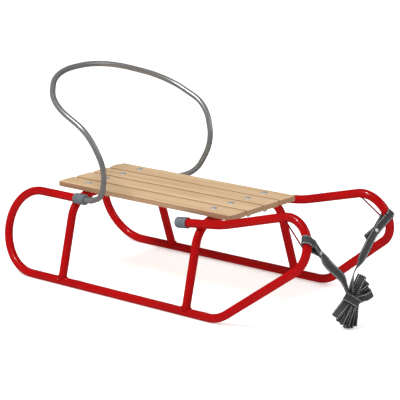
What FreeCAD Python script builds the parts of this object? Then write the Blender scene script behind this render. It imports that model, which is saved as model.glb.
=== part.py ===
"""Child's toboggan: bent tube runners, two bridges, a four-slat seat and a plug-in backrest hoop.

The sled stands on the XY plane. +X points forward to the noses, +Y to the sled's left, +Z up.
The origin is the centre of the rigid sled's footprint, at the height of the ground.
Lengths are millimetres and angles are degrees.
"""
import FreeCAD, Part
import math
import os

from FreeCAD import Rotation, Vector

# ---- runner tube -------------------------------------------------------------------------
TUBE_D = 18.0            # outside diameter of the runner and bridge tube
TUBE_WALL = 1.5          # wall of the runner and bridge tube
TRACK = 341.0            # distance between the runner centrelines at the ground
LEAN_DEG = 14.2          # both runners lean inwards by this much
LEG_LEAN_DEG = 15.9      # the bridges' legs lean inwards by this much
REAR_RUN = 96.5          # rear bridge to the start of the rear half-circle
BRIDGE_SPACING = 363.5   # rear bridge to front bridge
FRONT_RUN = 88.0         # front bridge to the foot of the nose
NOSE_REACH = 200.0       # foot of the nose to its foremost tangent
FOOT_BEND_R = 80.0       # bend at the foot of the nose
NOSE_LOW_R = 58.0        # lower bend of the nose
NOSE_TOP_R = 54.5        # upper bend of the nose
NOSE_STRAIGHT = 2.0      # straight tube between the nose's two bends
RAIL_DROP = 0.5          # the rails' centrelines run this far below the bridges' bars
RAIL_DEG = 14.6          # slope of the front rail, rising to the nose
TAIL_DEG = 5.6           # slope of the rail's short tail over the front bridge
TAIL_AHEAD = 64.0        # front bridge to the bend between tail and rail
TAIL_BEND_R = 260.0      # bend between tail and rail
TAIL_BACK = 50.5         # the tail's tube ends this far behind the front bridge
WELD_SINK = 0.2          # the rail is pressed this far into the bridge's corner bend

# ---- plastic ends ------------------------------------------------------------------------
SLEEVE_D = 23.2          # outside of the caps and bushes
SLEEVE_LEN = 25.0        # length of tube that a cap or bush covers
SLEEVE_CLEAR = 1.0       # rear bridge to the back of a bush
SLEEVE_GAP = 0.05        # radial clearance of a sleeve on its tube
CAP_DOME = 5.0           # closed end of a cap, ahead of the tube's end
CAP_PLUG_LEN = 14.0      # spigot of a cap inside its tube
BUSH_LIP = 4.0           # end wall of a bush, ahead of the tube's end
BUSH_LINER_LEN = 62.0    # spigot of a bush inside its tube

# ---- backrest hoop -----------------------------------------------------------------------
HOOP_D = 12.0            # outside diameter of the hoop tube
HOOP_WALL = 1.5
HOOP_INSERT = 60.0       # length of hoop end held in the rear rail
HOOP_FIT = 0.08          # radial clearance of the hoop in its bush
# Bend points of one half of the hoop: ahead of, outboard of and above the bush's mouth.
HOOP_BENDS = ((16, 0, 0), (69, 18, 19), (102, 36, 86), (73, 52, 163), (-40, 46, 213), (-136, -54, 255))
BEND_SHARE = 0.45        # share of the shorter run that a hoop or cord bend may use

# ---- seat --------------------------------------------------------------------------------
SEAT_TOP = 205.0         # height of the seat's upper face
SLAT_COUNT = 4
SLAT_LEN = 504.0
SLAT_W = 46.0
SLAT_T = 12.0
SLAT_GAP = 5.5
SLAT_REAR_OVERHANG = 73.0  # seat behind the rear bridge
SLAT_CORNER_R = 5.0      # rounding of a slat's upright corners
SLAT_TOP_R = 2.5         # rounding of a slat's upper edges
SLAT_UNDER_R = 1.5       # rounding of a slat's lower edges

# ---- fasteners ---------------------------------------------------------------------------
BOLT_D = 6.0
BOLT_HOLE_D = 6.5
BOLT_HEAD_D = 15.5
BOLT_HEAD_H = 3.0
BOLT_NECK = 6.0          # side of the square neck under the head
BOLT_NECK_H = 3.5
NECK_GAP = 0.1           # clearance of the neck in its square hole
WASHER_D = 12.5
WASHER_T = 1.6
NUT_AF = 10.0            # across the flats
NUT_H = 6.0
BOLT_END = 2.0           # thread left below the nut
THREAD_GAP = 0.1         # radial clearance of nuts and washers on the shank

# ---- nose guard rods ---------------------------------------------------------------------
GUARD_D = 3.2
GUARD_DEG = 41.0         # slope of the rod across the inside of the nose
GUARD_OFFSET = 30.0      # rod to the centre of the nose's upper bend
GUARD_SINK = 0.8         # the rod's ends reach this far into the nose tube before coping

# ---- pull strap --------------------------------------------------------------------------
STRAP_W = 18.0
STRAP_T = 2.0
BAND_GAP = 1.3           # slack of the strap's band round the nose tube
BAND_CLEAR = 11.0        # foot of the guard rod to the lower edge of the band
RIVET_HEAD_D = 8.0
RIVET_HEAD_T = 1.0
RIVET_SHANK_D = 4.0
RIVET_CLEAR = 0.2        # a rivet's head to the strap under it
RIVET_ALONG = 20.0       # start of a lead to its rivet
ROUTE_HALF_WIDTH = 110.6  # half the space between the two bands, for which the routes are given
ROUTE_HEIGHT = 196.9     # height of the bands' centres, for which the routes are given
# Routes of the strap's two leads, ahead of the noses' foremost tangent, outboard and above ground.
LEAD_RIGHT = ((8, -113, 191), (9, -104, 174), (9, -89, 153), (10, -71, 132), (11, -48, 113), (11, -29, 93),
              (14, -21, 64))
LEAD_LEFT = ((-3, 114, 187), (-1, 92, 172), (2, 67, 157), (5, 48, 140), (8, 25, 123), (11, 2, 108),
             (14, -10, 93), (17, -16, 79))
RIVET_AXIS_RIGHT = (68, 73, -2)      # the way each rivet points through its strap
RIVET_AXIS_LEFT = (67, -70, 25)
HANK_WAIST = (19, -18, 55.0)         # centre of the tied hank, placed as the leads are
HANK_AXIS = (6, 49, 87)              # from the hank's lower loops to its upper loops
HANK_SPREAD = (100, 93, 0)           # the way in which its loops fan out
HANK_T = 20.0                        # thickness of the hank
# Outline of the hank round its waist: above the waist and along its spread.
HANK_OUTLINE = ((5, -17), (-13, -13), (-46, -25), (-53, -16), (-52, 12), (-40, 21), (-12, 10), (3, 13),
                (9, 29), (28, 33), (43, 23), (55, 11), (53, -11), (20, -10))

# ---- values that follow from the sizes above ---------------------------------------------
TUBE_R = TUBE_D / 2
BORE_R = TUBE_R - TUBE_WALL
HOOP_R = HOOP_D / 2
SLEEVE_R = SLEEVE_D / 2
LEAN = math.radians(LEAN_DEG)
LEG_LEAN = math.radians(LEG_LEAN_DEG)
RAIL = math.radians(RAIL_DEG)
TAIL = math.radians(TAIL_DEG)
REAR_RAIL_AHEAD = TUBE_R + SLEEVE_CLEAR + SLEEVE_LEN
BAR_Z = SEAT_TOP - SLAT_T - TUBE_R
RAIL_V = (BAR_Z - RAIL_DROP - TUBE_R) / math.cos(LEAN)
REAR_LOOP_R = RAIL_V / 2
REAR_END = REAR_RUN + REAR_LOOP_R + TUBE_R
NOSE_AHEAD = BRIDGE_SPACING + FRONT_RUN + NOSE_REACH
X_REAR = (REAR_END - NOSE_AHEAD - TUBE_R) / 2
X_FRONT = X_REAR + BRIDGE_SPACING
X_NOSE = X_REAR + NOSE_AHEAD
STRAP_SECTION_D = math.sqrt(4 * STRAP_W * STRAP_T / math.pi)  # round tube of the strap's section
RIVET_GRIP = STRAP_SECTION_D + 2 * RIVET_CLEAR


# ---- helpers -----------------------------------------------------------------------------
def smooth_radii(points):
    """Radii that make each bend as large as its two runs allow."""
    radii = []
    for before, corner, after in zip(points, points[1:], points[2:]):
        run_in = corner - before
        run_out = after - corner
        half_turn = run_in.getAngle(run_out) / 2
        shorter = min(run_in.Length, run_out.Length)
        radii.append(BEND_SHARE * shorter / math.tan(half_turn))
    return radii


def bent_path(points, radii):
    """Straight runs through the points, joined by tangent arcs of the given radii."""
    edges = []
    start = points[0]
    for before, corner, after, radius in zip(points, points[1:], points[2:], radii):
        run_in = (corner - before).normalize()
        run_out = (after - corner).normalize()
        half_turn = run_in.getAngle(run_out) / 2
        setback = radius * math.tan(half_turn)
        arc_start = corner - run_in * setback
        arc_end = corner + run_out * setback
        inward = (run_out - run_in).normalize()
        middle = corner + inward * (radius / math.cos(half_turn) - radius)
        if (arc_start - start).Length > 0.01:
            edges.append(Part.LineSegment(start, arc_start).toShape())
        edges.append(Part.Arc(arc_start, middle, arc_end).toShape())
        start = arc_end
    edges.append(Part.LineSegment(start, points[-1]).toShape())
    return Part.Wire(edges)


def sweep(path, radius):
    """A solid round bar along a path."""
    first = path.Edges[0]
    across = first.tangentAt(first.FirstParameter)
    circle = Part.Wire([Part.makeCircle(radius, first.valueAt(first.FirstParameter), across)])
    pipe = Part.BRepOffsetAPI.MakePipeShell(path)
    pipe.add(circle)
    pipe.build()
    pipe.makeSolid()
    return pipe.shape()


def mirrored(shape):
    """The same piece on the other side of the sled."""
    return shape.mirror(Vector(0, 0, 0), Vector(0, 1, 0))


def turned(profile):
    """A solid of revolution about the X axis, from (x, radius) points."""
    corners = [Vector(x, 0, radius) for x, radius in profile]
    outline = Part.makePolygon(corners + corners[:1])
    return Part.Face(outline).revolve(Vector(0, 0, 0), Vector(1, 0, 0), 360)


def placed(shape, origin, direction):
    """A piece made along +X, turned to a direction and moved to its origin."""
    copy = shape.copy()
    copy.Placement = FreeCAD.Placement(origin, Rotation(Vector(1, 0, 0), direction))
    return copy


def on_runner(u, v):
    """Point of the right runner's leaning plane: u ahead of the rear bridge, v up the slope."""
    y = -(TRACK / 2 - v * math.sin(LEAN))
    return Vector(X_REAR + u, y, TUBE_R + v * math.cos(LEAN))


# ---- runners -----------------------------------------------------------------------------
def rail_height(u):
    """Height up the runner's slope of the front rail's sloping part, and of its corner."""
    kink_u = BRIDGE_SPACING + TAIL_AHEAD
    kink_v = RAIL_V + TAIL_AHEAD * math.tan(TAIL)
    return kink_v + (u - kink_u) * math.tan(RAIL)


def nose_rise():
    """Tangent of the climbing tube's slope, which brings its lower bend up to the upper one."""
    top = rail_height(NOSE_AHEAD) - NOSE_TOP_R * math.tan((math.pi / 2 + RAIL) / 2) - NOSE_STRAIGHT
    run = NOSE_REACH - NOSE_LOW_R
    half = (math.sqrt(run ** 2 + top ** 2 - NOSE_LOW_R ** 2) - run) / (NOSE_LOW_R + top)
    return math.tan(2 * math.atan(half))


def runner_path():
    """Centreline of one runner, from the rear rail's end round to the front rail's tail."""
    foot_u = BRIDGE_SPACING + FRONT_RUN
    kink_u = BRIDGE_SPACING + TAIL_AHEAD
    loop_u = -(REAR_RUN + REAR_LOOP_R)
    points = [
        on_runner(REAR_RAIL_AHEAD, RAIL_V),
        on_runner(loop_u, RAIL_V),
        on_runner(loop_u, 0),
        on_runner(foot_u, 0),
        on_runner(NOSE_AHEAD, NOSE_REACH * nose_rise()),
        on_runner(NOSE_AHEAD, rail_height(NOSE_AHEAD)),
        on_runner(kink_u, rail_height(kink_u)),
        on_runner(BRIDGE_SPACING - TAIL_BACK, RAIL_V - TAIL_BACK * math.tan(TAIL)),
    ]
    radii = [REAR_LOOP_R, REAR_LOOP_R, FOOT_BEND_R, NOSE_LOW_R, NOSE_TOP_R, TAIL_BEND_R]
    return bent_path(points, radii)


runner_bar = sweep(runner_path(), TUBE_R)
runner_right = runner_bar.cut(sweep(runner_path(), BORE_R))
runner_bars = [runner_bar, mirrored(runner_bar)]


# ---- bridges -----------------------------------------------------------------------------
def bridge_corner():
    """Half-width at which a leg's line meets the cross bar's line."""
    return TRACK / 2 - (BAR_Z - TUBE_R) * math.tan(LEG_LEAN)


def bridge_bend_radius():
    """Radius of the corner bend on whose outer side the rail lies."""
    half_turn = (math.pi / 2 - LEG_LEAN) / 2
    rail = on_runner(0, RAIL_V)
    out = -rail.y - bridge_corner()
    up = rail.z - BAR_Z
    reach = TUBE_D - WELD_SINK
    a = math.tan(half_turn) ** 2
    b = -out * math.tan(half_turn) - up + reach
    c = out ** 2 + up ** 2 - reach ** 2
    return (b + math.sqrt(b * b - a * c)) / a


def underside_drop(y):
    """How far the underside of a bridge's bar has bent down at a distance y from the middle."""
    radius = bridge_bend_radius()
    straight = bridge_corner() - radius * math.tan((math.pi / 2 - LEG_LEAN) / 2)
    beyond = max(0.0, abs(y) - straight)
    inner = radius - TUBE_R
    return inner - math.sqrt(inner ** 2 - beyond ** 2)


def bridge(x, hole_ys):
    """One inverted-U bridge, coped onto both runners and drilled for the seat bolts."""
    foot = TRACK / 2
    corner = bridge_corner()
    points = [Vector(x, -foot, TUBE_R), Vector(x, -corner, BAR_Z), Vector(x, corner, BAR_Z),
              Vector(x, foot, TUBE_R)]
    radius = bridge_bend_radius()
    path = bent_path(points, [radius, radius])
    body = sweep(path, TUBE_R).cut(sweep(path, BORE_R))
    for bar in runner_bars:
        body = body.cut(bar)
    for y in hole_ys:
        drill = Part.makeCylinder(BOLT_HOLE_D / 2, 2 * TUBE_D, Vector(x, y, BAR_Z - TUBE_D))
        body = body.cut(drill)
    return body


slat_ys = [(k - (SLAT_COUNT - 1) / 2) * (SLAT_W + SLAT_GAP) for k in range(SLAT_COUNT)]
bridge_xs = {"rear": X_REAR, "front": X_FRONT}


# ---- seat slats --------------------------------------------------------------------------
def slat(y):
    """One seat board with rounded corners and edges, bored for its two bolts."""
    base = SEAT_TOP - SLAT_T
    board = Part.makeBox(SLAT_LEN, SLAT_W, SLAT_T, Vector(X_REAR - SLAT_REAR_OVERHANG, y - SLAT_W / 2, base))
    upright = [e for e in board.Edges if abs(e.tangentAt(e.FirstParameter).z) > 0.9]
    board = board.makeFillet(SLAT_CORNER_R, upright)
    upper = [e for e in board.Edges if e.BoundBox.ZMin > SEAT_TOP - 0.01]
    board = board.makeFillet(SLAT_TOP_R, upper)
    lower = [e for e in board.Edges if e.BoundBox.ZMax < base + 0.01]
    board = board.makeFillet(SLAT_UNDER_R, lower)
    side = BOLT_NECK + 2 * NECK_GAP
    for x in bridge_xs.values():
        board = board.cut(Part.makeCylinder(BOLT_HOLE_D / 2, SLAT_T, Vector(x, y, base)))
        corner = Vector(x - side / 2, y - side / 2, SEAT_TOP - BOLT_NECK_H)
        board = board.cut(Part.makeBox(side, side, BOLT_NECK_H, corner))
    return board


# ---- seat fasteners ----------------------------------------------------------------------
def coach_bolt(x, y):
    """Domed bolt with a square neck, through a slat and the bridge below it."""
    dome_r = (BOLT_HEAD_D ** 2 / 4 + BOLT_HEAD_H ** 2) / (2 * BOLT_HEAD_H)
    ball = Part.makeSphere(dome_r, Vector(x, y, SEAT_TOP + BOLT_HEAD_H - dome_r))
    head = ball.common(Part.makeCylinder(BOLT_HEAD_D, BOLT_HEAD_D, Vector(x, y, SEAT_TOP)))
    neck = Part.makeBox(BOLT_NECK, BOLT_NECK, BOLT_NECK_H,
                        Vector(x - BOLT_NECK / 2, y - BOLT_NECK / 2, SEAT_TOP - BOLT_NECK_H))
    tip = washer_top(y) - WASHER_T - NUT_H - BOLT_END
    shank = Part.makeCylinder(BOLT_D / 2, SEAT_TOP - tip, Vector(x, y, tip))
    return head.fuse([neck, shank])


def washer_top(y):
    """Height at which a washer's outer edge meets the bridge's underside."""
    return BAR_Z - TUBE_R - underside_drop(abs(y) + WASHER_D / 2)


def washer(x, y):
    """Flat washer under the bridge."""
    base = Vector(x, y, washer_top(y) - WASHER_T)
    disc = Part.makeCylinder(WASHER_D / 2, WASHER_T, base)
    disc = disc.cut(Part.makeCylinder(BOLT_D / 2 + THREAD_GAP, WASHER_T, base))
    return disc


def nut(x, y):
    """Hexagon nut below the washer."""
    base = Vector(x, y, washer_top(y) - WASHER_T - NUT_H)
    corner_r = NUT_AF / 2 / math.cos(math.pi / 6)
    corners = [base + Vector(corner_r * math.cos(k * math.pi / 3), corner_r * math.sin(k * math.pi / 3), 0)
               for k in range(6)]
    block = Part.Face(Part.makePolygon(corners + corners[:1])).extrude(Vector(0, 0, NUT_H))
    block = block.cut(Part.makeCylinder(BOLT_D / 2 + THREAD_GAP, NUT_H, base))
    return block


# ---- plastic caps and bushes -------------------------------------------------------------
def end_cap():
    """Closed cap made along +X, with the tube's end face at the origin."""
    sleeve_r = TUBE_R + SLEEVE_GAP
    plug_r = BORE_R - SLEEVE_GAP
    cap = turned([(CAP_DOME, 0), (CAP_DOME, SLEEVE_R), (-SLEEVE_LEN, SLEEVE_R), (-SLEEVE_LEN, sleeve_r),
                  (0, sleeve_r), (0, plug_r), (-CAP_PLUG_LEN, plug_r), (-CAP_PLUG_LEN, 0)])
    rim = [e for e in cap.Edges if e.BoundBox.XMin > CAP_DOME - 0.01]
    return cap.makeFillet(CAP_DOME * 0.9, rim)


def rail_bush():
    """Open bush made along +X, with the tube's end face at the origin and the hoop's bore inside."""
    sleeve_r = TUBE_R + SLEEVE_GAP
    liner_r = BORE_R - SLEEVE_GAP
    bore_r = HOOP_R + HOOP_FIT
    bush = turned([(BUSH_LIP, bore_r), (BUSH_LIP, SLEEVE_R), (-SLEEVE_LEN, SLEEVE_R),
                   (-SLEEVE_LEN, sleeve_r), (0, sleeve_r), (0, liner_r), (-BUSH_LINER_LEN, liner_r),
                   (-BUSH_LINER_LEN, bore_r)])
    rim = [e for e in bush.Edges if e.BoundBox.XMin > BUSH_LIP - 0.01 and e.BoundBox.ZMax > SLEEVE_R - 0.1]
    return bush.makeFillet(BUSH_LIP * 0.4, rim)


# ---- backrest hoop -----------------------------------------------------------------------
def hoop():
    """One bent tube from the right bush, round behind the seat, to the left bush."""
    mouth = on_runner(REAR_RAIL_AHEAD + BUSH_LIP, RAIL_V)
    right = [mouth]
    for ahead, outboard, above in HOOP_BENDS:
        right.append(mouth + Vector(ahead, -outboard, above))
    left = [Vector(p.x, -p.y, p.z) for p in reversed(right)]
    points = right + left
    radii = smooth_radii(points)
    points[0] = points[0] - Vector(HOOP_INSERT, 0, 0)
    points[-1] = points[-1] - Vector(HOOP_INSERT, 0, 0)
    path = bent_path(points, radii)
    return sweep(path, HOOP_R).cut(sweep(path, HOOP_R - HOOP_WALL))


# ---- nose guard rods ---------------------------------------------------------------------
def upper_bend_centre():
    """Centre of the nose's upper bend, up the runner's slope."""
    turn = math.pi / 2 + RAIL
    corner_v = rail_height(NOSE_AHEAD)
    return NOSE_AHEAD - NOSE_TOP_R, corner_v - NOSE_TOP_R * math.tan(turn / 2)


def guard_rod_line():
    """Middle of the guard rod and its reach up and down to the nose tube, in the runner's slope."""
    centre_u, centre_v = upper_bend_centre()
    slope = math.radians(GUARD_DEG)
    inner = NOSE_TOP_R - TUBE_R
    middle_u = centre_u + GUARD_OFFSET * math.sin(slope)
    middle_v = centre_v + GUARD_OFFSET * math.cos(slope)
    up = math.sqrt(inner ** 2 - GUARD_OFFSET ** 2)
    down = up
    if middle_v - up * math.sin(slope) < centre_v:
        down = (centre_u + inner - middle_u) / math.cos(slope)
    return middle_u, middle_v, up, down


def guard_rod():
    """Wire across the inside of the nose, welded at both ends."""
    middle_u, middle_v, up, down = guard_rod_line()
    slope = math.radians(GUARD_DEG)
    up += GUARD_SINK
    down += GUARD_SINK
    upper = on_runner(middle_u - up * math.cos(slope), middle_v + up * math.sin(slope))
    lower = on_runner(middle_u + down * math.cos(slope), middle_v - down * math.sin(slope))
    run = lower - upper
    rod = Part.makeCylinder(GUARD_D / 2, run.Length, upper, run)
    return rod.cut(runner_bar)


# ---- pull strap --------------------------------------------------------------------------
def band_place():
    """Centre of the right band on the nose's upper bend, above the guard rod's foot, and its axis."""
    centre_u, centre_v = upper_bend_centre()
    middle_v, down = guard_rod_line()[1], guard_rod_line()[3]
    foot_v = middle_v - down * math.sin(math.radians(GUARD_DEG))
    rise = foot_v - centre_v + BAND_CLEAR + STRAP_W / 2
    turn = max(0.0, rise) / NOSE_TOP_R
    out_u = NOSE_TOP_R * math.cos(turn)
    up_v = NOSE_TOP_R * math.sin(turn) if turn > 0 else rise
    along = on_runner(-math.sin(turn), math.cos(turn)) - on_runner(0, 0)
    return on_runner(centre_u + out_u, centre_v + up_v), along


def strap_band():
    """Loop of webbing round the upper bend of the right nose."""
    centre, along = band_place()
    base = centre - along * (STRAP_W / 2)
    inner = TUBE_R + BAND_GAP
    ring = Part.makeCylinder(inner + STRAP_T, STRAP_W, base, along)
    return ring.cut(Part.makeCylinder(inner, STRAP_W, base, along))


def ahead_of_nose(offset):
    """Point of the strap, spread and raised as the two bands are."""
    centre = band_place()[0]
    spread = (-centre.y - TUBE_R - BAND_GAP - STRAP_T) / ROUTE_HALF_WIDTH
    return Vector(X_NOSE + offset[0], offset[1] * spread, offset[2] * centre.z / ROUTE_HEIGHT)


def strap_hank():
    """Outer shape of the folded strap, tied at its waist and fanned at both ends."""
    waist = ahead_of_nose(HANK_WAIST)
    axis = Vector(*HANK_AXIS).normalize()
    spread = Vector(*HANK_SPREAD)
    spread = (spread - axis * axis.dot(spread)).normalize()
    depth = axis.cross(spread)
    front = waist - depth * (HANK_T / 2)
    corners = [front + axis * up + spread * out for up, out in HANK_OUTLINE]
    return Part.Face(Part.makePolygon(corners + corners[:1])).extrude(depth * HANK_T)


def strap_lead(route, name):
    """Round bar of the strap's section along one lead, ending at the hank's face."""
    points = [ahead_of_nose(p) for p in route]
    radii = smooth_radii(points)
    path = bent_path(points, radii)
    bar = sweep(path, STRAP_SECTION_D / 2)
    expected = math.pi * STRAP_SECTION_D ** 2 / 4 * path.Length
    print(f"{name}: length {path.Length:.1f}, radii {[round(r, 1) for r in radii]},",
          f"volume {bar.Volume:.0f} against {expected:.0f}")
    return bar


def rivet(route, axis):
    """Two-headed rivet through the layers of strap where a lead leaves its band."""
    points = [ahead_of_nose(p) for p in route]
    before = points[0]
    left_to_go = RIVET_ALONG
    for after in points[1:]:
        run = after - before
        if left_to_go < run.Length:
            break
        left_to_go -= run.Length
        before = after
    along = run.normalize()
    middle = before + along * left_to_go
    across = Vector(*axis)
    across = (across - along * along.dot(across)).normalize()
    tip = across * (RIVET_GRIP / 2 + RIVET_HEAD_T)
    heads = [Part.makeCylinder(RIVET_HEAD_D / 2, RIVET_HEAD_T, middle - tip, across),
             Part.makeCylinder(RIVET_HEAD_D / 2, RIVET_HEAD_T, middle + tip, across * -1)]
    shank = Part.makeCylinder(RIVET_SHANK_D / 2, 2 * tip.Length, middle - tip, across)
    return shank.fuse(heads).removeSplitter()


# ---- assembly ----------------------------------------------------------------------------
nodes = {"runner_right": runner_right, "runner_left": mirrored(runner_right)}
for end, x in bridge_xs.items():
    nodes[f"bridge_{end}"] = bridge(x, slat_ys)
    nodes[f"bolts_{end}"] = Part.makeCompound([coach_bolt(x, y) for y in slat_ys])
    nodes[f"washers_{end}"] = Part.makeCompound([washer(x, y) for y in slat_ys])
    nodes[f"nuts_{end}"] = Part.makeCompound([nut(x, y) for y in slat_ys])
for number, y in enumerate(slat_ys, start=1):
    nodes[f"seat_slat_{number}"] = slat(y)

rear_rail_end = on_runner(REAR_RAIL_AHEAD, RAIL_V)
tail_end = on_runner(BRIDGE_SPACING - TAIL_BACK, RAIL_V - TAIL_BACK * math.tan(TAIL))
tail_out = tail_end - on_runner(BRIDGE_SPACING, RAIL_V)
nodes["rail_bush_right"] = placed(rail_bush(), rear_rail_end, Vector(1, 0, 0))
nodes["rail_cap_right"] = placed(end_cap(), tail_end, tail_out)
nodes["guard_rod_right"] = guard_rod()
nodes["strap_band_right"] = strap_band()
for piece in ("rail_bush", "rail_cap", "guard_rod", "strap_band"):
    nodes[f"{piece}_left"] = mirrored(nodes[f"{piece}_right"])

nodes["backrest_hoop"] = hoop()

hank = strap_hank()
nodes["strap_hank"] = hank
for side, route, axis in (("right", LEAD_RIGHT, RIVET_AXIS_RIGHT), ("left", LEAD_LEFT, RIVET_AXIS_LEFT)):
    fastener = rivet(route, axis)
    lead = strap_lead(route, f"strap_lead_{side}").cut(hank).cut(fastener)
    band = nodes[f"strap_band_{side}"]
    nodes[f"strap_lead_{side}"] = lead.cut(band)
    nodes[f"strap_rivet_{side}"] = fastener.cut(band)

os.makedirs("parts", exist_ok=True)
for name, shape in nodes.items():
    shape.exportStep(f"parts/{name}.step")
    box = shape.BoundBox
    print(f"{name}: {len(shape.Solids)} solid(s), valid {shape.isValid()}, volume {shape.Volume:.0f},",
          f"x {box.XMin:.1f} to {box.XMax:.1f}, y {box.YMin:.1f} to {box.YMax:.1f},",
          f"z {box.ZMin:.1f} to {box.ZMax:.1f}")
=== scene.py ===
"""Looks of a child's toboggan: red tube frame, slatted seat, plug-in backrest and webbing strap.

Everything is in metres, in the part's own frame: +X to the noses, +Y to the sled's left, +Z up.
"""

import logging
import math
from dataclasses import dataclass
from enum import Enum

import bpy
from mathutils import Matrix, Vector

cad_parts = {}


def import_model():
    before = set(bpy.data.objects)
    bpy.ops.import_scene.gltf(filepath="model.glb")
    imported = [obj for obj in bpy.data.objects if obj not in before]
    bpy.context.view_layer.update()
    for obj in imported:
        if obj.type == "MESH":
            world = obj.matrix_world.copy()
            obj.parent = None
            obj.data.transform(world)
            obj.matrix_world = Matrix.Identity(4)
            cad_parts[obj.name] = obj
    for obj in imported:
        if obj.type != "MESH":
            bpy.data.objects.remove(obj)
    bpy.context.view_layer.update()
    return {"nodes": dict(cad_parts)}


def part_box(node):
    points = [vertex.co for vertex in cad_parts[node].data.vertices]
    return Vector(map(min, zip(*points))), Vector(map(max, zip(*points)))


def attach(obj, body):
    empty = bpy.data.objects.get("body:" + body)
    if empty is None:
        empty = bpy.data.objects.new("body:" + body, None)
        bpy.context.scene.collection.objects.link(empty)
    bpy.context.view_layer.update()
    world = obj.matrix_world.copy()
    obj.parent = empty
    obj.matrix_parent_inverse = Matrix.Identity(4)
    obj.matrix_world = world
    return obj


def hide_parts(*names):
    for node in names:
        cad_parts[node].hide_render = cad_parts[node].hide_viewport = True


LOG = logging.getLogger("toboggan")
MM = 0.001
SMALLEST = 1e-9            # shortest step along a line that is divided by

TUBE_R = 9.0 * MM          # runner and bridge tube
X_NOSE = 419.0 * MM        # foremost tangent of the noses' centrelines
X_REAR = -232.5 * MM       # rear bridge
X_FRONT = 131.0 * MM       # front bridge
TOWARDS_VIEW = Vector((0.667309, -0.701998, 0.248794))
VIEW_RIGHT = Vector((0.730370, 0.682201, -0.034080))
VIEW_UP = Vector((-0.145804, 0.204453, 0.967957))

MIX_FACTOR, MIX_FIRST, MIX_SECOND = 0, 6, 7    # inputs of a Mix node for colours
MIX_COLOUR = 2                                 # and its output


class Side(Enum):
    """The two sides of the sled, with the sign of their Y."""

    RIGHT = -1
    LEFT = 1

    @property
    def label(self) -> str:
        """The side's name as the nodes use it."""
        return self.name.lower()


class Face(Enum):
    """The two faces of a strap."""

    FRONT = 1
    BACK = -1


# ---- shader maths ------------------------------------------------------------------------
class Value:
    """A shader socket that Python's operators work on."""

    def __init__(self, shader: "Shader", socket: bpy.types.NodeSocket) -> None:
        """Wrap a socket.

        Args:
            shader: the node tree that the socket is in.
            socket: an output socket.
        """
        self.shader = shader
        self.socket = socket

    def maths(self, operation: str, *terms: "Value | float") -> "Value":
        """Add a Math node.

        Args:
            operation: the Math node's operation.
            terms: its inputs, in order.

        Returns:
            The node's result.
        """
        node = self.shader.node("ShaderNodeMath", {"operation": operation}, dict(enumerate(terms)))
        return Value(self.shader, node.outputs[0])

    def __add__(self, other: "Value | float") -> "Value":
        """Sum."""
        return self.maths("ADD", self, other)

    __radd__ = __add__

    def __sub__(self, other: "Value | float") -> "Value":
        """Difference."""
        return self.maths("SUBTRACT", self, other)

    def __rsub__(self, other: float) -> "Value":
        """Difference from a number."""
        return self.maths("SUBTRACT", other, self)

    def __mul__(self, other: "Value | float") -> "Value":
        """Product."""
        return self.maths("MULTIPLY", self, other)

    __rmul__ = __mul__

    def __truediv__(self, other: "Value | float") -> "Value":
        """Quotient."""
        return self.maths("DIVIDE", self, other)

    def floor(self) -> "Value":
        """Whole part."""
        return self.maths("FLOOR", self)

    def absolute(self) -> "Value":
        """Size without sign."""
        return self.maths("ABSOLUTE", self)

    def sine(self) -> "Value":
        """Sine of an angle in radians."""
        return self.maths("SINE", self)

    def power(self, exponent: float) -> "Value":
        """Power of a value that isn't negative."""
        return self.maths("POWER", self, exponent)

    def between(self, low: float, high: float) -> "Value":
        """Rise smoothly from 0 to 1.

        Args:
            low: the value up to which the result is 0.
            high: the value from which it is 1.

        Returns:
            The result.
        """
        node = self.shader.node(
            "ShaderNodeMapRange", {"interpolation_type": "SMOOTHSTEP"},
            {"Value": self, "From Min": low, "From Max": high},
        )
        return Value(self.shader, node.outputs["Result"])


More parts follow.
